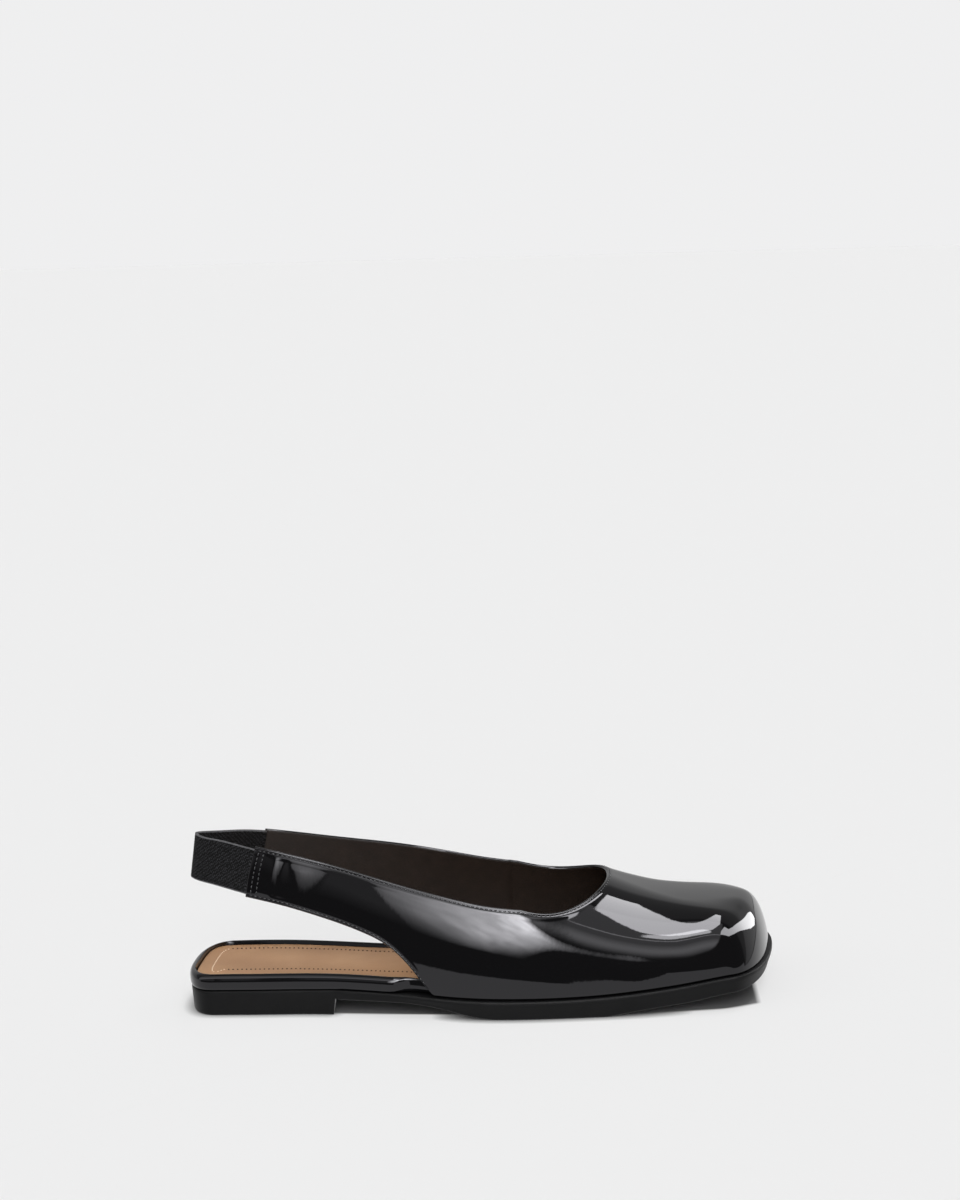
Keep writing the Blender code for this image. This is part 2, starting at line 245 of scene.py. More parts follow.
def cap(count, squareness):
    """Superellipse from its tip to its full breadth: forward and breadth shares."""
    angle = np.linspace(0, math.pi / 2, count)
    forward = np.cos(angle) ** (2 / squareness)
    breadth = np.sin(angle) ** (2 / squareness)
    return np.stack([forward, breadth], axis=1)


def stations(middle, heel_squareness=HEEL_SQUARENESS, points=40):
    """Stations from heel to toe: the x of the section, its share of breadth, and how far its cap runs on."""
    back = cap(points, heel_squareness)[:-1]
    rows = [(HEEL_CAP, breadth, -HEEL_CAP * forward) for forward, breadth in back]
    rows += [(x, 1.0, 0.0) for x in middle]
    front = cap(points, TOE_SQUARENESS)[:-1][::-1]
    rows += [(SOLE_LENGTH - TOE_CAP, breadth, TOE_CAP * forward) for forward, breadth in front]
    return np.array(rows)


def slanted(x, y):
    """The slant of the toe's front, whose medial end is the longer, and of the heel's back."""
    toe = TOE_SLANT * ease((x - TOE_SLANT_FROM) / (SOLE_LENGTH - TOE_SLANT_FROM))
    heel = HEEL_SLANT * ease(1 - x / HEEL_SLANT_TO)
    return x + (toe + heel) * y


def plan(side, station, inset, share=0.0):
    """A point of the plan before the slant, inset from the sole's edge and then a share of the way
    to the ridge line."""
    x, breadth, run_on = np.moveaxis(np.asarray(station, float), -1, 0)
    ridge = smooth(OUTLINE, "ridge", x)
    half = smooth(OUTLINE, SIDE_NAME[side], x) - side * ridge
    y = ridge + side * (half - inset) * breadth * (1 - share)
    size = np.where(run_on < 0, HEEL_CAP, TOE_CAP)
    rounding = 4 * TOE_ROUNDING * share * (1 - share)
    forward = run_on / size * ((size - inset) * (1 - share) + rounding)
    pull = ease((x - TOE_PULL_FROM) / (SOLE_LENGTH - TOE_CAP - TOE_PULL_FROM))
    return x + forward - pull * (TOE_PULL * share + rounding), y


def last_point(side, station, share):
    """The outer surface of the upper, at a share of the way from the feather line to the ridge."""
    x = station[..., 0]
    inset = smooth(LAST, "inset", x)
    if side == MEDIAL:
        inset = inset + SEAM_STEP * ease((SEAM_X - x) / SEAM_RUN)
    x, y = plan(side, station, inset, share)
    left = 1 - np.minimum(share / smooth(LAST, "reach", x), 1)
    rise = (1 - left ** smooth(LAST, "flat", x)) ** smooth(LAST, "wall", x)
    crown = smooth(LAST, "crown", x) - smooth(LAST, "drop", x) * (1 - share) ** 2
    foot = smooth(SOLE, "top", x) + GAP
    swell = smooth(LAST, "swell_" + SIDE_NAME[side], x) * np.sin(math.pi * rise**0.65)
    y = y + side * swell * station[..., 1] * (1 - share)
    z = foot + (crown - foot) * rise
    return np.stack([slanted(x, y), y, z], axis=-1)


def share_at(x, z):
    """The share at which a section behind the throat reaches a height."""
    foot = smooth(SOLE, "top", x) + GAP
    rise = np.clip((z - foot) / (smooth(LAST, "crown", x) - foot), 0, 1)
    left = (1 - rise ** (1 / smooth(LAST, "wall", x))) ** (1 / smooth(LAST, "flat", x))
    return (1 - left) * smooth(LAST, "reach", x)


def topline_share(side, x):
    """Where the topline crosses each section: by its height behind the throat, then round the throat."""
    name = SIDE_NAME[side]
    share = share_at(x, smooth(TOPLINE, name, x))
    start = share_at(np.array(THROAT_BACK), smooth(TOPLINE, name, THROAT_BACK))
    along = np.clip((x - THROAT_BACK) / (THROAT_TIP - THROAT_BACK), 0, 1)
    bow = (1 - along**THROAT_SQUARENESS) ** (1 / THROAT_SQUARENESS)
    return np.where(x <= THROAT_BACK, share, 1 - (1 - start) * bow)


def edge_share(side, x):
    """Where the lower edge crosses each section: on the strap's own edge, then on the sole."""
    low = smooth(STRAP_EDGE, SIDE_NAME[side], x)
    return np.where(x < STRAP_EDGE["x"][-1], share_at(x, low), 0.0)


def sole_bottom(x):
    arch = np.maximum(smooth(SOLE, "bottom", x), 0)
    return arch * np.clip((x - HEEL_BREAST) / BREAST_RUN, 0, 1)


def sole_top(x):
    share = ease((x - HEEL_SEAT_TO) / HEEL_SEAT_RUN)
    return HEEL_SEAT + (smooth(SOLE, "top", x) - HEEL_SEAT) * share


def heel_taper(x):
    return HEEL_TAPER * ease((HEEL_BREAST + HEEL_TAPER_RUN - x) / HEEL_TAPER_RUN)


def tread_edge(x):
    return TREAD_INSET + heel_taper(x) + BALL_TUCK * ease((x - BALL_TUCK_FROM) / BALL_TUCK_RUN)


def top_edge(x):
    return 0.1 + 0.8 * heel_taper(x)


def footbed_top(x):
    return smooth(FOOTBED, "top", x)


def footbed_edge(x):
    return BOARD_OUT + (BOARD_IN - BOARD_OUT) * ease((x - BOARD_TUCK_FROM) / BOARD_TUCK_RUN)


def lip_breadth(x):
    return LIP_OUT + (LIP_IN - LIP_OUT) * ease((x - BOARD_TUCK_FROM) / BOARD_TUCK_RUN)


def footbed_floor(x):
    return footbed_top(x) - smooth(FOOTBED, "rim", x) - SOCK - GAP


def place(points):
    """Millimetres of the shoe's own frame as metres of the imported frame."""
    return (np.asarray(points, float) - SHIFT) * MM


def add_object(name, data):
    thing = bpy.data.objects.new(name, data)
    bpy.context.scene.collection.objects.link(thing)
    return thing


def make_piece(name, points, faces, materials, replaces=None, indices=None):
    """A smooth-shaded object that rides on the shoe."""
    mesh = bpy.data.meshes.new(name)
    mesh.from_pydata([tuple(p) for p in place(points)], [], [tuple(int(i) for i in f) for f in faces])
    for material in materials:
        mesh.materials.append(material)
    if indices is not None:
        mesh.polygons.foreach_set("material_index", np.asarray(indices, np.int32))
    mesh.validate()
    mesh.shade_smooth()
    piece = add_object(name, mesh)
    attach(piece, "root")
    if replaces:
        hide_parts(replaces)
    return piece


def grid_faces(rows, columns, close_rows=False, close_columns=False):
    """Quads of a grid numbered row by row."""
    index = np.arange(rows * columns).reshape(rows, columns)
    if close_rows:
        index = np.concatenate([index, index[:1]], axis=0)
    if close_columns:
        index = np.concatenate([index, index[:, :1]], axis=1)
    corners = (index[:-1, :-1], index[1:, :-1], index[1:, 1:], index[:-1, 1:])
    return [tuple(f) for f in np.stack([c.reshape(-1) for c in corners], axis=1)]


def ruled_faces(near, far):
    """Faces between two rows of indices, without the corners that the rows share."""
    faces = []
    for a in range(len(near) - 1):
        face = tuple(dict.fromkeys((near[a], near[a + 1], far[a + 1], far[a])))
        if len(face) > 2:
            faces.append(face)
    return faces


def cap_faces(size, count, last_step=1):
    """Quads across both ends of a tube of rings, the last end's taken backwards for a step of -1."""
    faces = []
    for column, step in ((0, 1), (count - 1, last_step)):
        ring = [r * count + column for r in range(size)]
        for a in range(size // 2 - 1):
            faces.append((ring[a], ring[a + 1], ring[-2 - a], ring[-1 - a])[::step])
    return faces


def unit(vectors):
    return vectors / np.maximum(np.linalg.norm(vectors, axis=-1, keepdims=True), 1e-9)


def grid_normals(grid):
    """Unit normals of a grid of points, from its own central differences."""
    return unit(np.cross(np.gradient(grid, axis=0), np.gradient(grid, axis=1)))


def row_runs(grid):
    """The distances along each row of points from its first."""
    steps = np.linalg.norm(np.diff(grid, axis=1), axis=2)
    return np.concatenate([np.zeros((len(grid), 1)), np.cumsum(steps, axis=1)], axis=1)


def resample(line, distances, values=None):
    """Points of a polyline, or other values at its points, at distances along it."""
    run = row_runs(line[None])[0]
    values = line if values is None else values
    return np.stack([np.interp(distances, run, column) for column in values.T], axis=1)


NOSE = TOE_CAP + 4 * TOE_ROUNDING
EDGE_ROWS = np.array([0.0, 0.22, 0.45, 0.7, 1.0, 1.5, 2.3])
STITCH_ROW = 2
MIDDLE_ROWS = 46
RIM_STEPS = 7
RIM = UPPER_WALL / 2
FAN_LINES = 130
STRAP_STEP = 0.9
FEATHER_POWER = 2.2


def on_last(side, x, across):
    """The upper's surface at a place of the flattened pattern: across is 1 at the feather line and 0 on
    the ridge, and the toe's cap is a superellipse ahead of the last full section."""
    toe = SOLE_LENGTH - TOE_CAP
    over = np.maximum(x - toe, 0) / NOSE
    full = (over**TOE_SQUARENESS + across**TOE_SQUARENESS) ** (1 / TOE_SQUARENESS)
    safe = np.maximum(full, 1e-9)
    ahead = x > toe
    breadth = np.where(ahead, across / safe, 1.0)
    run_on = np.where(ahead, TOE_CAP * over / safe, 0.0)
    share = np.clip(1 - np.where(ahead, full, across), 0, 1)
    station = np.stack([np.minimum(x, toe), breadth, run_on], axis=-1)
    return last_point(side, station, share)


def half_lines(side):
    """The two ends of each line from the lower edge to the topline, in the flattened pattern."""
    straight = np.arange(STRAP_START, THROAT_BACK, STRAP_STEP)
    slant = STRAP_SLANT * (1 - ease((straight - STRAP_START) / STRAP_SLANT_RUN))
    low = np.stack([straight, 1 - edge_share(side, straight)], axis=1)
    high = np.stack([straight + slant, 1 - topline_share(side, straight + slant)], axis=1)
    toe = SOLE_LENGTH - TOE_CAP
    angle = np.linspace(0, math.pi / 2, 400)
    wall = np.stack([np.linspace(THROAT_BACK, toe, 500), np.ones(500)], axis=1)
    power = 2 / TOE_SQUARENESS
    nose = np.stack([toe + NOSE * np.sin(angle) ** power, np.cos(angle) ** power], axis=1)
    x = THROAT_BACK + (THROAT_TIP - THROAT_BACK) * np.sin(angle) ** (2 / THROAT_SQUARENESS)
    throat = np.stack([x, 1 - topline_share(side, x)], axis=1)
    lines = []
    for path in (np.concatenate([wall, nose[1:]]), throat):
        real = on_last(side, path[:, 0], path[:, 1])
        at = np.linspace(0, row_runs(real[None])[0, -1], FAN_LINES)
        lines.append(resample(real, at, path))
        lines[-1][-1, 1] = 0
    return np.concatenate([low, lines[0]]), np.concatenate([high, lines[1]])


def half_surface(side):
    """Points, line by line, at even distances from the lower edge to the topline."""
    low, high = half_lines(side)

    def points_at(share):
        flat = low[:, None] + (high - low)[:, None] * share
        return on_last(side, flat[..., 0], np.maximum(flat[..., 1], 0))

    fine = np.linspace(0, 1, 220)[None, :, None] ** FEATHER_POWER
    run = row_runs(points_at(fine))
    reach = run[:, -1]
    edge = RIM + EDGE_ROWS
    even = np.linspace(0, 1, MIDDLE_ROWS + 2)[1:-1]
    middle = edge[-1] + (reach[:, None] - 2 * edge[-1]) * even
    start = np.repeat(edge[None], len(reach), axis=0)
    places = np.concatenate([start, middle, reach[:, None] - start[:, ::-1]], axis=1)
    ends = np.concatenate([places, reach[:, None]], axis=1)
    share = np.array([np.interp(want, have, fine[0, :, 0]) for want, have in zip(ends, run)])
    real = points_at(share[..., None])
    return real[:, :-1], real[:, -1], reach


RELAX_PASSES = 6
RELAX_REACH = 14
RELAX_SHARE = 0.5
RELAX_FALL = 3


def relax(points, centre):
    """Evens the lines out across the toe's ridge, where the two halves meet."""
    out = points.copy()
    far = np.abs(np.arange(len(out)) - centre) / RELAX_REACH
    weight = RELAX_SHARE * np.exp(-(far**2) * RELAX_FALL)
    weight = weight.reshape((-1,) + (1,) * (out.ndim - 1))
    for _ in range(RELAX_PASSES):
        mean = (np.roll(out, 1, axis=0) + np.roll(out, -1, axis=0)) / 2
        out = out + (mean - out) * weight
    return out


TOE_CORNER = (222.0, 27.0, 33.0)
TOE_CORNER_REACH = 26.0
CORNER_PASSES = 40
CORNER_SHARE = 0.7
CORNER_FALL = 1.6
CORNER_FIRST_ROW = 4
CORNER_ROWS_IN = 8.0


def round_toe_corners(grid):
    """Softens the toe's two corners, leaving the lower edge where it is."""
    out = grid.copy()
    low_edge = ease((np.arange(1, out.shape[1] - 1) - CORNER_FIRST_ROW) / CORNER_ROWS_IN)
    for _ in range(CORNER_PASSES):
        inner = out[1:-1, 1:-1]
        mean = (out[:-2, 1:-1] + out[2:, 1:-1] + out[1:-1, :-2] + out[1:-1, 2:]) / 4
        away = np.abs(inner) * [0, 1, 0] + inner * [1, 0, 1] - TOE_CORNER
        weight = ease(CORNER_FALL - CORNER_FALL * np.linalg.norm(away, axis=-1) / TOE_CORNER_REACH)
        weight = weight * low_edge
        out[1:-1, 1:-1] = inner + (mean - inner) * CORNER_SHARE * weight[..., None]
    return out


def upper_surface():
    """One grid from the lateral strap end round the throat to the medial strap end."""
    near = half_surface(LATERAL)
    far = half_surface(MEDIAL)
    centre = len(near[0]) - 1
    grid, top, reach = (np.concatenate([a, b[::-1][1:]]) for a, b in zip(near, far))
    return round_toe_corners(relax(grid, centre)), relax(top, centre), reach, centre


class Tree:
    """A node tree, with short calls for what the materials and the world need."""

    def __init__(self, tree):
        self.nodes = tree.nodes
        self.links = tree.links

    def put(self, socket, value):
        """Links an output to a socket, or sets the socket's own value."""
        if isinstance(value, bpy.types.NodeSocket):
            self.links.new(value, socket)
        else:
            socket.default_value = value

    def add(self, kind, values=(), **settings):
        """A new node with its settings and the values of its sockets."""
        node = self.nodes.new("ShaderNode" + kind)
        for name, setting in settings.items():
            setattr(node, name, setting)
        for socket, value in dict(values).items():
            self.put(node.inputs[socket], value)
        return node

    def do(self, operation, a, b=0.0, clamp=False):
        return self.add("Math", {0: a, 1: b}, operation=operation, use_clamp=clamp).outputs[0]

    def step(self, value, start, end):
        """0 before the start and 1 after the end, in a straight ramp."""
        return self.do("MULTIPLY", self.do("SUBTRACT", value, start), 1 / (end - start), clamp=True)

    def every(self, *masks):
        product = masks[0]
        for mask in masks[1:]:
            product = self.do("MULTIPLY", product, mask)
        return product

    def beside(self, x, y, start, end, soft):
        """1 to the left of a line from start to end, seen along it."""
        run = Vector((end[0] - start[0], end[1] - start[1])).normalized()
        along_x = self.do("MULTIPLY", self.do("SUBTRACT", x, start[0]), -run.y)
        along_y = self.do("MULTIPLY", self.do("SUBTRACT", y, start[1]), run.x)
        return self.step(self.do("ADD", along_x, along_y), -soft, soft)

    def outline(self, x, y, corners, soft):
        """1 inside a convex outline, its corners given anticlockwise."""
        edges = zip(corners, corners[1:] + corners[:1])
        return self.every(*(self.beside(x, y, a, b, soft) for a, b in edges))

    def noise(self, scale, detail=2.0, stretch=(1, 1, 1)):
        """Noise over the object's own coordinates, its scale in waves a metre."""
        where = self.add("TexCoord").outputs["Object"]
        mapping = self.add("Mapping", {"Scale": stretch, "Vector": where})
        values = {"Scale": scale, "Detail": detail, "Vector": mapping.outputs["Vector"]}
        return self.add("TexNoise", values).outputs["Fac"]

    def ramp(self, source, *stops):
        node = self.add("ValToRGB", {"Fac": source})
        elements = node.color_ramp.elements
        while len(elements) < len(stops):
            elements.new(0.5)
        for element, (position, colour) in zip(elements, stops):
            element.position = position
            element.color = (*colour, 1)
        return node.outputs["Color"]

    def bump(self, *layers):
        """Bump nodes in a chain on the shader, one for each texture's height and strength."""
        normal = None
        for height, strength in layers:
            values = {"Strength": strength, "Distance": MM, "Height": height}
            if normal is not None:
                values["Normal"] = normal
            normal = self.add("Bump", values).outputs["Normal"]
        self.links.new(normal, self.nodes["Principled BSDF"].inputs["Normal"])


def new_material(name, values):
    """A material on the standard shader, with values for its sockets."""
    material = bpy.data.materials.new(name)
    material.use_nodes = True
    tree = Tree(material.node_tree)
    shader = tree.nodes["Principled BSDF"]
    for socket, value in values.items():
        shader.inputs[socket].default_value = value
    return material, tree, shader


PATENT_BLACK = (0.0012, 0.0011, 0.0013, 1)
PATENT_TINT = (0.96, 0.95, 1.0, 1)


def patent_leather(name, roughness, grain):
    """Lacquered leather: a black base under a clear gloss, with the faintest orange peel."""
    values = {"Base Color": PATENT_BLACK, "Roughness": roughness, "IOR": 1.5, "Specular Tint": PATENT_TINT}
    material, tree, _ = new_material(name, values)
    tree.bump((tree.noise(420, 2.0), grain), (tree.noise(90, 1.0), grain * 2))
    return material


def mottled(name, blotches, stops, roughness, specular, *layers):
    """A dull material: blotches of close colours, with layers of fine texture in relief."""
    values = {"Roughness": roughness, "Specular IOR Level": specular}
    material, tree, shader = new_material(name, values)
    tree.links.new(tree.ramp(tree.noise(*blotches), *stops), shader.inputs["Base Color"])
    tree.bump(*((tree.noise(*texture), strength) for texture, strength in layers))
    return material


def thread(name, colour, roughness):
    material, tree, _ = new_material(name, {"Base Color": (*colour, 1), "Roughness": roughness})
    tree.bump((tree.noise(3000, 2.0), 0.3))
    return material


BAND_LENGTH = 76.0
BAND_HEIGHT = 18.4
# The width of the painted highlight along each edge of the band.
PAINTED_HIGHLIGHT_BAND = 0.45
KNIT_WAVES = ((0.75, 0.33), (-0.95, 0.24))
KNIT_DARK = (0.0012, 0.0012, 0.0013)
KNIT_PALE = (0.024, 0.024, 0.027)
# The colour of the painted highlight along both edges of the band.
PAINTED_EDGE_HIGHLIGHT = (0.10, 0.10, 0.105, 1)


def knitted_elastic():
    """Two slanting waves over each other, with a painted highlight along both edges: a paler band where the
    bound edges catch the light.
    """
    values = {"Roughness": 0.75, "Specular IOR Level": 0.10, "Sheen Weight": 0.01}
    material, tree, shader = new_material("knitted_elastic", values)
    flat = tree.add("UVMap", uv_map="band").outputs["UV"]
    waves = []
    for turn, scale in KNIT_WAVES:
        turned = tree.add("Mapping", {"Rotation": (0, 0, turn), "Vector": flat}).outputs["Vector"]
        values = {"Scale": scale, "Distortion": 5.0, "Detail": 2.0, "Detail Scale": 3.0, "Vector": turned}
        waves.append(tree.add("TexWave", values).outputs["Fac"])
    woven = tree.do("MULTIPLY", *waves)
    up = tree.add("SeparateXYZ", {"Vector": flat}).outputs["Y"]
    # Painted highlight: the colour turns paler within a band's width of either edge.
    inside = {0: up, 1: BAND_HEIGHT / 2, 2: BAND_HEIGHT / 2 - PAINTED_HIGHLIGHT_BAND}
    inside = tree.add("Math", inside, operation="COMPARE").outputs[0]
    colour = tree.ramp(woven, (0.08, KNIT_DARK), (0.75, KNIT_PALE))
    values = {"A": PAINTED_EDGE_HIGHLIGHT, "Factor": inside, "B": colour}
    mix = tree.add("Mix", values, data_type="RGBA")
    tree.links.new(mix.outputs["Result"], shader.inputs["Base Color"])
    tree.bump((tree.noise(3200, 3.0), 0.4), (woven, 0.5))
    return material


PATENT = patent_leather("patent_leather", 0.03, 0.006)
RIM_PATENT = patent_leather("rim_patent_leather", 0.06, 0.012)
LINING_STOPS = ((0.3, (0.0085, 0.0055, 0.0042)), (0.7, (0.0135, 0.0088, 0.0068)))
LINING = mottled("lining_leather", (160, 4.0), LINING_STOPS, 0.55, 0.25, ((1500, 3.0), 0.25))
RUBBER_STOPS = ((0.3, (0.0028, 0.0028, 0.0030)), (0.7, (0.0046, 0.0046, 0.0049)))
RUBBER = mottled("moulded_rubber", (70, 3.0), RUBBER_STOPS, 0.48, 0.13, ((2600, 2.0), 0.12))
TAN_STOPS = ((0.28, (0.300, 0.155, 0.070)), (0.5, (0.340, 0.182, 0.085)), (0.72, (0.380, 0.212, 0.103)))
TAN_LAYERS = (((1700, 4.0), 0.22), ((120, 3.0, (1, 0.4, 1)), 0.35))
SOCK_LEATHER = mottled("sock_leather", (45, 5.0), TAN_STOPS, 0.5, 0.5, *TAN_LAYERS)
KNIT = knitted_elastic()
BLACK_THREAD = thread("black_thread", (0.020, 0.020, 0.022), 0.32)
TAN_THREAD = thread("tan_thread", (0.68, 0.52, 0.38), 0.6)
PRICK = thread("pricked_leather", (0.045, 0.020, 0.010), 0.8)


# Each wave of slack: its height, its length and its place in the noise.
WAVES = ((0.06, 34, 3.7), (0.022, 15, 9.1))
GROOVE = np.array([0.0, -0.05, -0.13, -0.06, 0.02, 0.05, 0.03])
END_POCKET = 11.0
POCKET_RISE = 0.2
POCKET_START = 2.6
POCKET_ASIDE = 2.3
# Behind each strap end: a rise, its distance from the end, its reach, and where it starts in from the
# edges and over what run.
END_WAVES = ((0.06, 19, 4.5, 3, 4), (-0.10, 13, 1.6, 2, 2))


def soft_noise(points, scale, seed):
    """Smooth noise, about -1 to 1, over points in millimetres."""
    flat = points.reshape(-1, 3) / scale + seed
    return np.array([noise.noise(Vector(p)) for p in flat]).reshape(points.shape[:-1])


def strap_relief(grid, reach):
    """The elastic's end shows through each strap end as a raised block, with a soft dome behind it."""
    run = RIM + row_runs(grid)
    aside = np.minimum(run, reach[:, None] - run)
    relief = np.zeros(grid.shape[:2])
    for end in (0, -1):
        along = np.linalg.norm(grid - grid[end][None], axis=-1)
        block = ease((END_POCKET - along) / 1.4) * ease((aside - POCKET_ASIDE) / 1.2)
        relief += POCKET_RISE * (block * ease((along - POCKET_START) / 1.0))
        for rise, centre, width, inset, inset_run in END_WAVES:
            relief += rise * np.exp(-(((along - centre) / width) ** 2)) * ease((aside - inset) / inset_run)
    return relief


def edge_grooves(grid, strap_lines):
    """The pull of the thread along the topline, and along the strap's lower edge."""
    relief = np.zeros(grid.shape[:2])
    relief[:, -len(GROOVE) :] += GROOVE[::-1]
    relief[:, : len(GROOVE)] += np.where(strap_lines[:, None], GROOVE, 0)
    return relief


RIM_ANGLES = np.linspace(0, math.pi, RIM_STEPS + 2)[1:-1]
LINING_FROM = math.pi * 0.75
END_ANGLES = (0.45, 0.9, 1.3)
END_DOME = 0.5


def rim_arc(outside, inside, out):
    """The rounded edge of the wall, from its outside to its inside."""
    middle = (outside + inside) / 2
    arm = (outside - inside) / 2
    return [middle + arm * math.cos(angle) + out * RIM * math.sin(angle) for angle in RIM_ANGLES]


def opposite(ring, rows):
    """For each point of the wall's section, the point across the wall."""
    first_inner = rows + RIM_STEPS
    first_low = first_inner + rows
    partner = np.empty(len(ring), int)
    partner[:rows] = np.arange(first_inner, first_low)[::-1]
    partner[rows:first_inner] = np.arange(rows, first_inner)[::-1]
    partner[first_inner:first_low] = np.arange(rows)[::-1]
    partner[first_low:] = np.arange(first_low, len(ring))[::-1]
    return ring[partner]


def end_rings(section, end, step, rows):
    """The wall's section drawn together and outwards, to round a strap's end."""
    face = section[:, end]
    partner = opposite(face, rows)
    middle = (face + partner) / 2
    arm = (face - partner) / 2
    out = unit(face - section[:, step])
    return [middle + arm * math.cos(angle) + out * END_DOME * math.sin(angle) for angle in END_ANGLES]


STRAP_CLEAR = 3.0


def build_upper():
    grid, top, reach, centre = upper_surface()
    normal = grid_normals(grid)
    lines, rows = grid.shape[:2]
    strap_lines = grid[:, 0, 2] > smooth(SOLE, "top", grid[:, 0, 0]) + STRAP_CLEAR
    slack = sum(height * soft_noise(grid, length, seed) for height, length, seed in WAVES)
    relief = slack + strap_relief(grid, reach) + edge_grooves(grid, strap_lines)
    outer = grid + normal * relief[..., None]
    inner = grid - normal * UPPER_WALL
    loops = [outer[:, j] for j in range(rows)]
    loops += rim_arc(outer[:, -1], inner[:, -1], unit(top - grid[:, -1]))
    loops += [inner[:, j] for j in reversed(range(rows))]
    loops += rim_arc(outer[:, 0], inner[:, 0], unit(grid[:, 0] - grid[:, 1]))[::-1]
    kinds = [0] * rows + [int(angle >= LINING_FROM) for angle in RIM_ANGLES] + [1] * rows + [0] * RIM_STEPS
    section = np.stack(loops)
    first = end_rings(section, 0, 1, rows)[::-1]
    last = end_rings(section, -1, -2, rows)
    tube = np.stack(first + [section[:, i] for i in range(lines)] + last, axis=1)
    size, count = tube.shape[:2]
    faces = grid_faces(size, count, close_rows=True)
    caps = cap_faces(size, count, -1)
    indices = [kinds[f[0] // count] for f in faces] + [0] * len(caps)
    upper = make_piece(
        "upper_leather", tube.reshape(-1, 3), faces + caps, [PATENT, LINING], "upper", indices
    )
    paths = upper_paths(grid, strap_lines, centre)
    stitches = [stitch_run(outer, normal, path, STITCH_PITCH) for path in paths]
    stitch_piece("upper_stitches", stitches, BLACK_THREAD, 0.72, 0.26)
    return upper


STITCH_PITCH = 1.9
# Lines of the grid in from each strap end, and on from the medial seam, that a row of stitches follows.
END_STITCH_LINES = (1.7, 4.1)
SEAM_STITCH_LINES = (0.0, 2.4)
SEAM_STITCH_BACK = 1.6
STITCH_TIP = 0.3


def upper_paths(grid, strap_lines, centre):
    """The rows of stitches, each a list of places on the grid."""
    lines, rows = grid.shape[:2]
    topline = rows - 1 - STITCH_ROW
    paths = [[(i, topline) for i in range(1, lines - 1)]]
    low_side = np.flatnonzero(strap_lines)
    split = np.flatnonzero(np.diff(low_side) > 1)[0] + 1
    for run in (low_side[:split], low_side[split:]):
        paths.append([(i, STITCH_ROW) for i in run[1:-1]])
    for line in END_STITCH_LINES:
        for at in (line, lines - 1 - line):
            paths.append([(at, row) for row in np.linspace(STITCH_ROW + 2, topline - 2, 60)])
    seam = centre + np.abs(grid[centre:, rows // 2, 0] - (SEAM_X - SEAM_STITCH_BACK)).argmin()
    for line in SEAM_STITCH_LINES:
        paths.append([(seam + line, row) for row in np.linspace(STITCH_ROW + 1, topline - 2, 90)])
    return paths


def between(field, line, row):
    """A grid's value between its lines and rows."""
    i = min(int(line), field.shape[0] - 2)
    j = min(int(row), field.shape[1] - 2)
    a, b = line - i, row - j
    low = field[i, j] * (1 - b) + field[i, j + 1] * b
    high = field[i + 1, j] * (1 - b) + field[i + 1, j + 1] * b
    return low * (1 - a) + high * a


def stitch_run(surface, normal, path, pitch):
    """Places, directions and normals of the stitches along a path over a surface."""
    line = np.array([between(surface, *step) for step in path])
    up = np.array([between(normal, *step) for step in path])
    total = np.linalg.norm(np.diff(line, axis=0), axis=1).sum()
    count = max(int(total / pitch), 1)
    at = (np.arange(count) + 0.5) * total / count
    before = resample(line, np.maximum(at - STITCH_TIP, 0))
    after = resample(line, np.minimum(at + STITCH_TIP, total))
    return resample(line, at), after - before, resample(line, at, up)


# Along a stitch: the place of each ring, its share of the girth, and its height.
STITCH_RINGS = (
    (-1.0, 0.12, -0.9),
    (-0.8, 0.62, -0.35),
    (-0.4, 0.95, -0.05),
    (0.0, 1.0, 0.0),
    (0.4, 0.95, -0.05),
    (0.8, 0.62, -0.35),
    (1.0, 0.12, -0.9),
)
STITCH_SIDES = 8
STITCH_RISE = 0.35


def stitch_piece(name, runs, material, half, radius, sink=0.04):
    """One mesh of small lozenges of thread, each lying along its row with its ends going under."""
    angles = np.linspace(0, 2 * math.pi, STITCH_SIDES, endpoint=False)
    points = []
    faces = []
    for middles, aheads, ups in runs:
        for middle, ahead, up in zip(middles, aheads, ups):
            ahead = ahead / np.linalg.norm(ahead)
            up = up - ahead * (up @ ahead)
            up = up / np.linalg.norm(up)
            side = np.cross(ahead, up)
            base = len(points)
            for t, fat, drop in STITCH_RINGS:
                heart = middle + ahead * half * t + up * (radius * (STITCH_RISE + drop) - sink)
                for angle in angles:
                    points.append(heart + radius * fat * (side * math.cos(angle) + up * math.sin(angle)))
            for low in range(base, len(points) - STITCH_SIDES, STITCH_SIDES):
                for a in range(STITCH_SIDES):
                    b = (a + 1) % STITCH_SIDES
                    faces.append((low + a, low + b, low + STITCH_SIDES + b, low + STITCH_SIDES + a))
            faces.append(tuple(range(base, base + STITCH_SIDES))[::-1])
            faces.append(tuple(range(len(points) - STITCH_SIDES, len(points))))
    return make_piece(name, points, faces, [material])


def slab(levels, middle):
    """Rings of points round the outline, one for each inset and height."""
    rings = []
    for inset, height, squareness in levels:
        places = stations(middle, squareness)
        edge = inset(places[:, 0])
        z = height(places[:, 0] + places[:, 2])
        near, far = (plan(side, places, edge) for side in SIDES)
        near = np.stack([slanted(*near), near[1], z], axis=1)
        far = np.stack([slanted(*far), far[1], z], axis=1)
        rings.append(np.concatenate([near, far[::-1][1:-1]]))
    return np.array(rings), len(places)


def two_sides(base, half, count):
    """A ring's indices along its near side and along its far side, heel to toe."""
    near = list(range(base, base + half))
    return near, [base] + list(range(base + half, base + count))[::-1] + [base + half - 1]


def slab_piece(name, rings, half, materials, node):
    """Closed solid of rings, its two ends ruled across from side to side."""
    count = rings.shape[1]
    faces = grid_faces(len(rings), count, close_columns=True)
    faces += ruled_faces(*two_sides(0, half, count))
    top = ruled_faces(*two_sides((len(rings) - 1) * count, half, count))
    faces += [face[::-1] for face in top]
    return make_piece(name, rings.reshape(-1, 3), faces, materials, node)


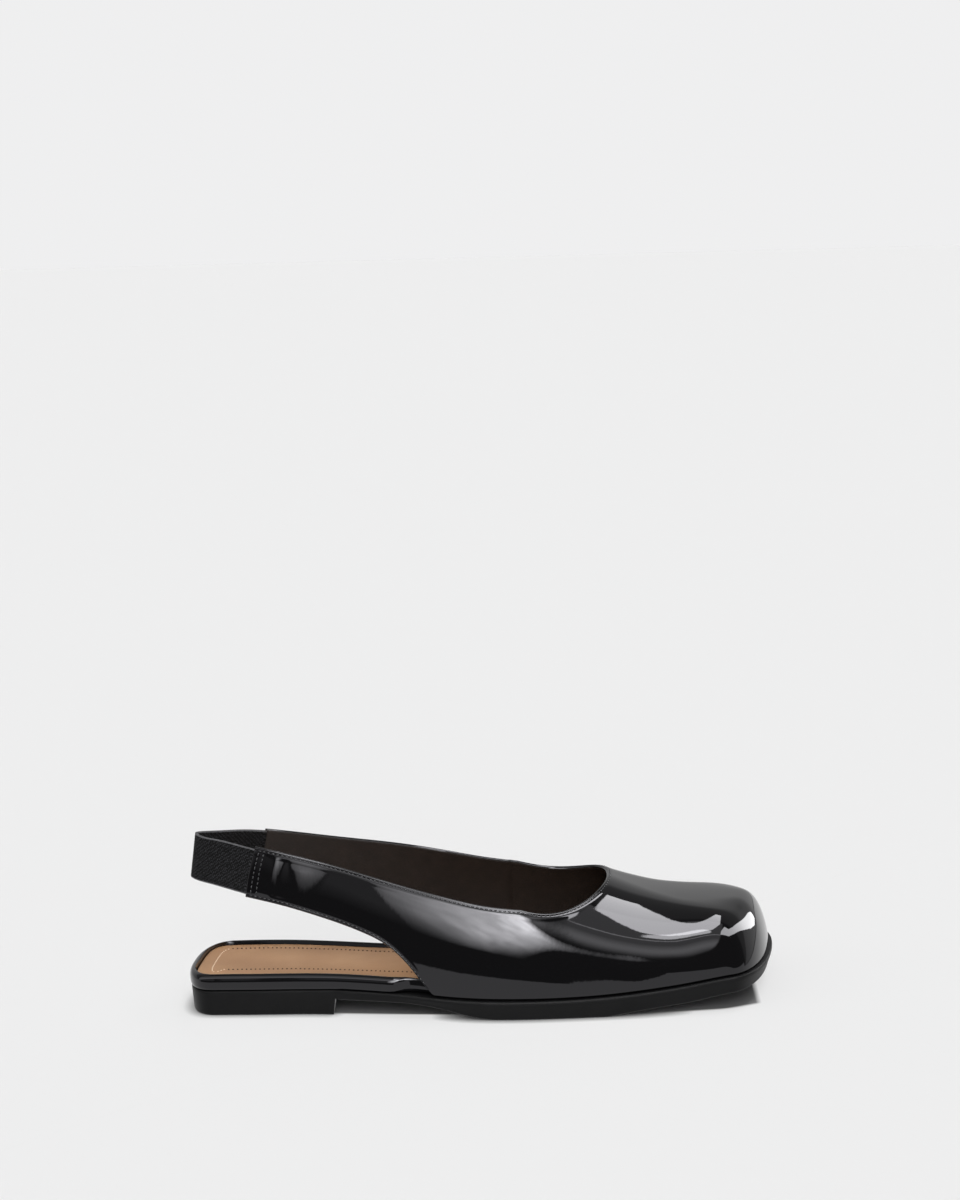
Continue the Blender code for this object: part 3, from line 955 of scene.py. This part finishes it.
def rounded(profile, count):
    """A smooth run of levels through a profile's corners, each an inset and a height for every station."""
    knots = np.linspace(0, 1, len(profile))
    at = np.linspace(0, 1, count)
    weights = np.array([smooth({"x": knots, "v": row}, "v", at) for row in np.eye(len(profile))]).T

    def blend(row, kind):
        return lambda x: sum(w * part[kind](x) for w, part in zip(row, profile))

    return [(blend(row, 0), blend(row, 1), HEEL_SQUARENESS) for row in weights]


# The outsole's lower bevel, in from the tread's edge and up from the bottom, and its upper bevel, in from
# the top's edge and down from the top.
LOW_BEVEL = ((1.2, 0.0), (0.62, 0.06), (0.25, 0.32), (0.06, 0.75), (0.0, 1.2))
HIGH_BEVEL = ((0.0, 1.4), (0.0, 0.9), (0.08, 0.45), (0.3, 0.12), (0.7, 0.0))
BOTH_BEVELS = 2.6


def build_outsole():
    middle = np.concatenate([
        np.arange(HEEL_CAP, HEEL_BREAST, 2.2),
        [HEEL_BREAST - 0.4, HEEL_BREAST, HEEL_BREAST + BREAST_RUN, HEEL_BREAST + 1.2],
        np.arange(64, SOLE_LENGTH - TOE_CAP, 2.0),
    ])
    side = [
        (lambda x, i=inset: tread_edge(x) + i, lambda x, up=up: sole_bottom(x) + up)
        for inset, up in LOW_BEVEL
    ]
    side += [
        (
            lambda x, s=share: tread_edge(x) + (top_edge(x) - tread_edge(x)) * s,
            lambda x, s=share: sole_bottom(x) + 1.2 + (sole_top(x) - BOTH_BEVELS - sole_bottom(x)) * s,
        )
        for share in (0.2, 0.4, 0.6, 0.8)
    ]
    side += [
        (lambda x, i=inset: top_edge(x) + i, lambda x, down=down: sole_top(x) - down)
        for inset, down in HIGH_BEVEL
    ]
    rings, half = slab([(a, b, HEEL_SQUARENESS) for a, b in side], middle)
    return slab_piece("outsole_rubber", rings, half, [RUBBER], "outsole")


FOOTBED_LEVELS = 29
LIP_LEVELS = 7


def build_footbed():
    middle = np.arange(HEEL_CAP, SOLE_LENGTH - TOE_CAP, 2.0)

    def seat(x):
        return sole_top(x) + GAP

    def level(share):
        return lambda x: seat(x) + (footbed_top(x) - seat(x)) * share

    def lip(share):
        return lambda x: footbed_edge(x) + lip_breadth(x) * share

    profile = [
        (lambda x: footbed_edge(x) + 0.9, seat),
        (lambda x: footbed_edge(x) + 0.2, level(0.12)),
        (footbed_edge, level(0.45)),
        (lambda x: footbed_edge(x) + 0.1, level(0.70)),
        (lip(0.24), level(0.91)),
        (lip(0.58), footbed_top),
        (lip(0.82), level(0.95)),
        (lip(1.0), footbed_floor),
    ]
    levels = rounded(profile, FOOTBED_LEVELS)
    for i in range(LIP_LEVELS):
        share = (i + 1) / LIP_LEVELS
        squareness = HEEL_SQUARENESS + (SOCK_SQUARENESS - HEEL_SQUARENESS) * share
        at = FOOTBED_LEVELS - LIP_LEVELS + i
        levels[at] = (*levels[at][:2], squareness)
    rings, half = slab(levels, middle)
    return slab_piece("footbed_rim", rings, half, [RIM_PATENT], "footbed")


SOCK_ROUND = 0.45
SOCK_ROWS = 41


def build_sock():
    middle = np.arange(HEEL_CAP, SOLE_LENGTH - TOE_CAP, 1.6)

    def edge(clear):
        return lambda x: footbed_edge(x) + lip_breadth(x) + clear

    def height(lift):
        return lambda x: footbed_floor(x) + GAP + lift

    levels = [(edge(0.4), height(0.0), SOCK_SQUARENESS), (edge(0.2), height(0.3), SOCK_SQUARENESS)]
    for angle in np.linspace(0, math.pi / 2, 5):
        clear = 0.2 + 0.5 * (1 - math.cos(angle))
        lift = SOCK - SOCK_ROUND + SOCK_ROUND * math.sin(angle)
        levels.append((edge(clear), height(lift), SOCK_SQUARENESS))
    rings, half = slab(levels, middle)
    count = rings.shape[1]
    ring = rings[-1]
    near_index, far_index = two_sides((len(rings) - 1) * count, half, count)
    near, far = (ring[np.array(row) - near_index[0]] for row in (near_index, far_index))
    shares = np.linspace(0, 1, SOCK_ROWS)[1:-1]
    inner = near[None] + (far - near)[None] * shares[:, None, None]
    points = np.concatenate([rings.reshape(-1, 3), inner[:, 1:-1].reshape(-1, 3)])
    span = half - 2
    rows = [near_index]
    for start in range(len(rings) * count, len(points), span):
        rows.append([near_index[0], *range(start, start + span), near_index[-1]])
    rows.append(far_index)
    faces = grid_faces(len(rings), count, close_columns=True)
    for row, after in zip(rows, rows[1:]):
        faces += [face[::-1] for face in ruled_faces(row, after)]
    faces += ruled_faces(*two_sides(0, half, count))
    sock_stitches(middle)
    return make_piece("insole_sock_leather", points, faces, [SOCK_LEATHER], "insole_sock")


SOCK_SEAM = 6.3
NEAR_SEAM = 4.5
NEAR_SEAM_FROM = 2
NEAR_SEAM_RUN = 14
SOCK_PITCH = 1.9
SEAM_TO = 200
SEAM_STILL = 60
BEADS_TO = 15


def even_out(values, span=12):
    """A running mean, with the ends held."""
    padded = np.concatenate([np.full(span, values[0]), values, np.full(span, values[-1])])
    return np.convolve(padded, np.ones(2 * span + 1) / (2 * span + 1), mode="valid")


def sock_stitches(middle):
    """The row a little way in from the sock's edge: pale beads round the heel, and pricks up both sides."""
    beads = []
    pricks = []
    for side in SIDES:
        places = stations(middle, SOCK_SQUARENESS)
        places = places[places[:, 0] < SEAM_TO]
        along = places[:, 0] + places[:, 2]
        inset = footbed_edge(places[:, 0]) + lip_breadth(places[:, 0]) + SOCK_SEAM
        inset += NEAR_SEAM * ease((along - NEAR_SEAM_FROM) / NEAR_SEAM_RUN) * (side == LATERAL)
        x, y = plan(side, places, inset)
        y = np.concatenate([y[:SEAM_STILL], even_out(y)[SEAM_STILL:]])
        z = footbed_floor(along) + GAP + SOCK
        line = np.stack([slanted(x, y), y, z], axis=1)
        grid = np.stack([line, line + [0, 0.1, 0]], axis=1)
        up = np.zeros_like(grid) + [0, 0, 1.0]
        run = stitch_run(grid, up, [(i, 0) for i in range(len(line))], SOCK_PITCH)
        heel = run[0][:, 0] < BEADS_TO
        beads.append([part[heel] for part in run])
        pricks.append([part[~heel] for part in run])
    stitch_piece("sock_beads", beads, TAN_THREAD, 0.46, 0.30, sink=0.06)
    stitch_piece("sock_pricks", pricks, PRICK, 0.48, 0.50, sink=0.26)


def elastic_surface(columns, rows):
    steps = np.hypot(np.diff(ELASTIC["x"]), np.diff(ELASTIC["y"]))
    path = dict(ELASTIC, x=np.concatenate([[0], np.cumsum(steps)]), run=ELASTIC["x"])
    at = np.linspace(0, path["x"][-1], columns)
    x, y, low, high, lean, inward = (
        smooth(path, name, at) for name in ("run", "y", "low", "high", "lean", "inward")
    )
    grid = []
    for part in np.linspace(0, 1, rows):
        z = low + (high - low) * part
        grid.append(np.stack([x + lean * part, y - np.sign(y) * inward * part, z], axis=1))
    return np.array(grid)


BAND_COLUMNS = 300
BAND_ROWS = 76
BAND_TUCK = 1.4
COURSE = 1.15
WALE = 1.5
TWILL_RISE = 0.055
RIB_RISE = 0.02
BEAD_RISE = 0.05
BEAD_PITCH = 0.9


def knit_relief(columns, rows):
    """Slanting stitches of the knit, fading at the two bound edges."""
    along = np.linspace(0, BAND_LENGTH, columns)[None, :]
    up = np.linspace(0, BAND_HEIGHT, rows)[:, None]
    twill = np.sin(2 * math.pi * (along / WALE + up / COURSE))
    rib = np.sin(2 * math.pi * along / WALE * 0.5)
    edge = ease(np.minimum(up, BAND_HEIGHT - up) / 1.0)
    beads = BEAD_RISE * np.sin(2 * math.pi * along / BEAD_PITCH) * (1 - edge)
    return (TWILL_RISE * twill + RIB_RISE * rib) * edge + beads


def build_elastic():
    grid = elastic_surface(BAND_COLUMNS, BAND_ROWS)
    tucks = [unit(grid[:, end] - grid[:, inner]) * BAND_TUCK for end, inner in ((0, 3), (-1, -4))]
    grid = np.concatenate([(grid[:, 0] + tucks[0])[:, None], grid, (grid[:, -1] + tucks[1])[:, None]], axis=1)
    normal = grid_normals(grid)
    if (normal * (grid - np.array([40.0, 0.0, 60.0]))).sum() < 0:
        normal = -normal
    relief = knit_relief(grid.shape[1], grid.shape[0])[..., None]
    back = (grid - normal * (ELASTIC_WALL + relief))[::-1]
    tube = np.concatenate([grid + normal * relief, back])
    size, count = tube.shape[:2]
    faces = grid_faces(size, count, close_rows=True) + cap_faces(size, count)
    band = make_piece("knitted_band", tube.reshape(-1, 3), faces, [KNIT], "back_elastic")
    up = np.linspace(0, BAND_HEIGHT, size // 2)
    flat = np.zeros((size, count, 2))
    flat[..., 0] = np.linspace(0, BAND_LENGTH, count)
    flat[..., 1] = np.concatenate([up, up[::-1]])[:, None]
    layer = band.data.uv_layers.new(name="band")
    corners = np.empty(len(band.data.loops), np.int32)
    band.data.loops.foreach_get("vertex_index", corners)
    layer.data.foreach_set("uv", flat.reshape(-1, 2)[corners].ravel())
    return band


def facing_out(piece):
    """Turns the piece's faces outwards."""
    shape = bmesh.new()
    shape.from_mesh(piece.data)
    bmesh.ops.recalc_face_normals(shape, faces=shape.faces)
    shape.to_mesh(piece.data)
    shape.free()


for piece in (build_upper(), build_outsole(), build_footbed(), build_sock(), build_elastic()):
    facing_out(piece)


CAMERA_PLACE = (-0.001976, -1.042807, 0.321609)
CAMERA_PITCH = math.radians(8.326)
CAMERA_HEADING = math.radians(-0.2263)
CAMERA_ROLL = math.radians(1.5)
CAMERA_LENS = 75.684
CAMERA_SENSOR = 36
CAMERA_FARTHEST = 200


def build_camera():
    """The photograph's own view: a long lens from the lateral side, a little above the shoe."""
    level = math.cos(CAMERA_PITCH)
    east, north = math.sin(CAMERA_HEADING), math.cos(CAMERA_HEADING)
    ahead = Vector((-east * level, north * level, -math.sin(CAMERA_PITCH)))
    right = Vector((north, east, 0))
    up = right.cross(ahead)
    cos, sin = math.cos(CAMERA_ROLL), math.sin(CAMERA_ROLL)
    right, up = right * cos - up * sin, right * sin + up * cos
    data = bpy.data.cameras.new("camera")
    data.sensor_width = CAMERA_SENSOR
    data.sensor_height = CAMERA_SENSOR
    data.lens = CAMERA_LENS
    data.clip_end = CAMERA_FARTHEST
    camera = add_object("camera", data)
    turn = Matrix((right, up, -ahead)).transposed().to_4x4()
    camera.matrix_world = Matrix.Translation(CAMERA_PLACE) @ turn
    bpy.context.scene.camera = camera


build_camera()


FLOOR_HALF = 30.0
FLOOR_TONE = (0.20, 0.20, 0.201, 1)
FLOOR_GLOW = 0.605
# The floor's glow is cut by ambient occlusion within this reach, raised to this power: a painted contact
# shadow round the shoe.
PAINTED_CONTACT_SHADE_REACH = 0.005
PAINTED_CONTACT_SHADE_POWER = 1.6
# Convex outlines of the floor beneath the arch and beneath the toe, where the light doesn't reach: inside
# them the floor's glow is cut out as a painted shadow.
PAINTED_SHADOW_UNDER_SOLE = (
    ((-0.066, -0.0265), (-0.030, -0.0300), (0.012, -0.036), (0.012, 0.030), (-0.066, 0.024)),
    ((0.012, -0.036), (0.060, -0.038), (0.100, -0.0335), (0.114, -0.027), (0.116, 0.030), (0.012, 0.030)),
)
# How soft the edges of the painted shadow's outlines are.
PAINTED_SHADOW_SOFT = 0.0012


def build_floor():
    """Pale paper that glows a little of itself, with painted shadow cut into the glow where the shoe is close
    over it and beneath the arch and the toe.
    """
    mesh = bpy.data.meshes.new("floor")
    corners = [(x * FLOOR_HALF, y * FLOOR_HALF, 0) for x, y in ((-1, -1), (1, -1), (1, 1), (-1, 1))]
    mesh.from_pydata(corners, [], [(0, 1, 2, 3)])
    values = {"Base Color": FLOOR_TONE, "Roughness": 1.0, "Specular IOR Level": 0.0}
    material, tree, shader = new_material("floor_paper", {**values, "Emission Color": (1.0, 1.0, 1.0, 1)})
    # Painted contact shadow: the floor's glow is cut where ambient occlusion finds the shoe close over it.
    shaded = tree.add("AmbientOcclusion", {"Distance": PAINTED_CONTACT_SHADE_REACH})
    glow_after_painted_shade = tree.do("POWER", shaded.outputs["AO"], PAINTED_CONTACT_SHADE_POWER)
    split = tree.add("SeparateXYZ", {0: tree.add("TexCoord").outputs["Object"]})
    # Painted shadow: the floor's glow is cut out inside each outline beneath the arch and the toe.
    for corners in PAINTED_SHADOW_UNDER_SOLE:
        under = tree.outline(split.outputs[0], split.outputs[1], corners, PAINTED_SHADOW_SOFT)
        glow_after_painted_shade = tree.do("MULTIPLY", glow_after_painted_shade, tree.do("SUBTRACT", 1.0, under))
    tree.links.new(tree.do("MULTIPLY", glow_after_painted_shade, FLOOR_GLOW), shader.inputs["Emission Strength"])
    mesh.materials.append(material)
    floor = add_object("floor", mesh)
    floor.visible_glossy = False


build_floor()


PANEL_AWAY = 0.3
PANEL_FROM, PANEL_TO, PANEL_HIGH = -0.17, 0.16, 0.36
# Along the panel, as a share of its distance: where a rise in brightness starts and ends, and how much.
PANEL_RISES = ((-0.415, -0.40, 1.2), (-0.40, -0.20, 5.0), (-0.20, 0.0, 2.4), (0.0, 0.28, 6.5))
PANEL_CLOUD = {"Scale": 28.0, "Detail": 1.0}
CLOUD_LEAST, CLOUD_RISE = 0.55, 0.9
TOP_LEAST, TOP_RISE = 0.2, 0.8


def build_panel():
    """The soft light in front: a panel seen only in the gloss, brighter towards the toe."""
    mesh = bpy.data.meshes.new("soft_panel")
    corners = ((PANEL_FROM, 0.0), (PANEL_TO, 0.0), (PANEL_TO, PANEL_HIGH), (PANEL_FROM, PANEL_HIGH))
    mesh.from_pydata([(x, -PANEL_AWAY, z) for x, z in corners], [], [(0, 1, 2, 3)])
    material = bpy.data.materials.new("soft_panel")
    material.use_nodes = True
    tree = Tree(material.node_tree)
    tree.nodes.clear()
    where = tree.add("TexCoord").outputs["Object"]
    split = tree.add("SeparateXYZ", {"Vector": where})
    along = tree.do("DIVIDE", split.outputs[0], PANEL_AWAY)
    up = tree.do("DIVIDE", split.outputs[2], PANEL_AWAY)
    cloud = tree.add("TexNoise", {**PANEL_CLOUD, "Vector": where}).outputs["Fac"]
    gain = 0.0
    for start, end, rise in PANEL_RISES:
        gain = tree.do("ADD", gain, tree.do("MULTIPLY", tree.step(along, start, end), rise))
    under_top = tree.beside(along, up, (0.25, 0.98), (-0.35, 0.60), 0.1)
    shade = tree.every(
        tree.step(up, 0.15, 0.36),
        tree.beside(along, up, (0.0, 0.17), (0.31, 0.55), 0.08),
        tree.step(along, 0.41, 0.34),
        tree.step(up, 1.15, 1.02),
        tree.do("ADD", TOP_LEAST, tree.do("MULTIPLY", under_top, TOP_RISE)),
        tree.do("ADD", CLOUD_LEAST, tree.do("MULTIPLY", cloud, CLOUD_RISE)),
        gain,
    )
    glow = tree.add("Emission", {"Strength": shade}).outputs["Emission"]
    clear = tree.add("BsdfTransparent").outputs["BSDF"]
    both = tree.add("AddShader", {0: glow, 1: clear}).outputs["Shader"]
    tree.add("OutputMaterial", {"Surface": both})
    mesh.materials.append(material)
    panel = add_object("soft_panel", mesh)
    panel.visible_camera = False
    panel.visible_diffuse = False
    panel.visible_transmission = False
    panel.visible_shadow = False


build_panel()


BACKDROP = 0.863
DARK = 0.11
# Outlines overhead, as places on a ceiling one unit up.
STRIP = ((0.06, -0.20), (0.10, -0.48), (0.27, -0.41), (0.44, -0.10), (0.475, 0.48), (0.34, 0.46))
STRIP_POWER = 9.0
STRIP_SOFT = 0.006
TUBE_TIP = ((0.10, -0.33), (0.13, -0.50), (0.20, -0.55), (0.27, -0.54), (0.26, -0.46), (0.18, -0.38))
TUBE_TIP_SOFT = 0.01
TUBE = (
    ((0.51, -0.42), (0.51, -0.60), (0.95, -0.50), (0.86, -0.14), (0.62, -0.14)),
    ((0.82, -0.18), (0.95, -0.50), (1.38, -0.06), (1.12, 0.20)),
    ((1.10, 0.18), (1.36, -0.08), (1.95, 0.62), (1.55, 0.95)),
    ((1.53, 0.93), (1.93, 0.60), (3.0, 1.7), (3.1, 2.3), (1.95, 1.65)),
    ((1.93, 1.63), (3.0, 1.7), (4.6, 3.3), (4.4, 4.6), (3.0, 3.0)),
    ((4.3, 4.5), (4.6, 3.2), (12.0, 11.0), (11.0, 12.0)),
)
TUBE_POWER = 8.0
TUBE_SOFT = 0.012
# Each soft light is its power and its edges. An edge is a measure of the direction, where the light is
# out and where it is full. The slope and swing are the height and the x over the distance in front.
NEAR = ("ahead", 0.02, 0.05)
ABOVE = ("z", 0.0, 0.01)
FRONT_POWER = 10.0
FRONT = (NEAR, ("slope", 0.13, 0.26), ("slope", 0.95, 0.60), ("over_x", 0.58, 0.34), ("swing", -0.24, -0.19))
THREAD_LINE = (
    ABOVE, ("over_y", -0.64, -0.63), ("over_y", -0.60, -0.61), ("over_x", 0.52, 0.48), ("over_x", 0.02, 0.06)
)
SOFT_LIGHTS = (
    (0.25, (NEAR, ("slope", 0.04, 0.16), ("swing", -0.19, -0.24))),
    (2.0, THREAD_LINE),
    (0.7, (("slope", 0.62, 0.85), ("over_x", 0.56, 0.50), NEAR)),
    (1.1, (("slope", 0.68, 0.92), ("slope", 1.3, 1.0), ("over_x", 0.56, 0.50))),
    (0.15, (("y", 0.0, 0.1), ABOVE)),
    (0.28, (("over_y", 0.95, 1.25), ABOVE)),
)
HORIZON_LOW, HORIZON_RISE = 0.25, 0.38


def build_world():
    """A dark studio over a pale ground. The strip, its curved end and the soft lights are overhead or in
    front. The curved end shows only in gloss, and the front light falls only on what isn't gloss."""
    world = bpy.data.worlds.new("studio")
    bpy.context.scene.world = world
    world.use_nodes = True
    tree = Tree(world.node_tree)
    x, y, z = tree.add("SeparateXYZ", {"Vector": tree.add("TexCoord").outputs["Generated"]}).outputs
    high = tree.do("MAXIMUM", z, 0.001)
    ahead = tree.do("MULTIPLY", y, -1)
    depth = tree.do("MAXIMUM", ahead, 0.02)
    measures = {
        "y": y,
        "z": z,
        "ahead": ahead,
        "over_x": tree.do("DIVIDE", x, high),
        "over_y": tree.do("DIVIDE", y, high),
        "slope": tree.do("DIVIDE", z, depth),
        "swing": tree.do("DIVIDE", x, depth),
    }

    def mask(*edges):
        return tree.every(*(tree.step(measures[name], out, full) for name, out, full in edges))

    over = measures["over_x"], measures["over_y"]
    rays = tree.add("LightPath")
    matt = tree.do("SUBTRACT", 1.0, rays.outputs["Is Glossy Ray"])
    strip = tree.every(mask(ABOVE), tree.outline(*over, STRIP, STRIP_SOFT))
    tube = tree.outline(*over, TUBE_TIP, TUBE_TIP_SOFT)
    for part in TUBE:
        tube = tree.do("MAXIMUM", tube, tree.outline(*over, part, TUBE_SOFT))
    lights = [
        (STRIP_POWER, strip),
        (FRONT_POWER, tree.every(mask(*FRONT), matt)),
        (TUBE_POWER, tree.every(mask(ABOVE), tube, rays.outputs["Is Glossy Ray"])),
    ]
    total = DARK
    for power, light in lights + [(power, mask(*edges)) for power, edges in SOFT_LIGHTS]:
        total = tree.do("ADD", total, tree.do("MULTIPLY", light, power))

    near = mask(NEAR)
    rise = tree.do("MULTIPLY", mask(("swing", 0.11, 0.20)), HORIZON_RISE)
    horizon = tree.do("MULTIPLY", tree.do("SUBTRACT", rise, HORIZON_LOW), near)
    under = tree.every(tree.step(tree.do("SUBTRACT", z, horizon), 0.005, -0.005), near)
    ground = tree.do("MAXIMUM", mask(("z", -0.22, -0.235)), under)
    low_sides = mask(("z", 0.0, -0.02), ("y", -0.35, -0.2))
    ground = tree.do("MULTIPLY", tree.do("MAXIMUM", ground, low_sides), BACKDROP)
    total = tree.do("MAXIMUM", total, ground)

    background = tree.nodes["Background"]
    background.inputs["Color"].default_value = (1.0, 1.0, 1.0, 1)
    tree.links.new(total, background.inputs["Strength"])
    plain = tree.add("Background", {"Color": (BACKDROP, BACKDROP, BACKDROP * 1.005, 1)})
    shown = (rays.outputs["Is Camera Ray"], background.outputs["Background"], plain.outputs["Background"])
    mix = tree.add("MixShader", dict(enumerate(shown)))
    tree.links.new(mix.outputs["Shader"], tree.nodes["World Output"].inputs["Surface"])
    world.cycles.sampling_method = "MANUAL"
    world.cycles.sample_map_resolution = 2048


build_world()
bpy.context.scene.view_settings.view_transform = "Standard"
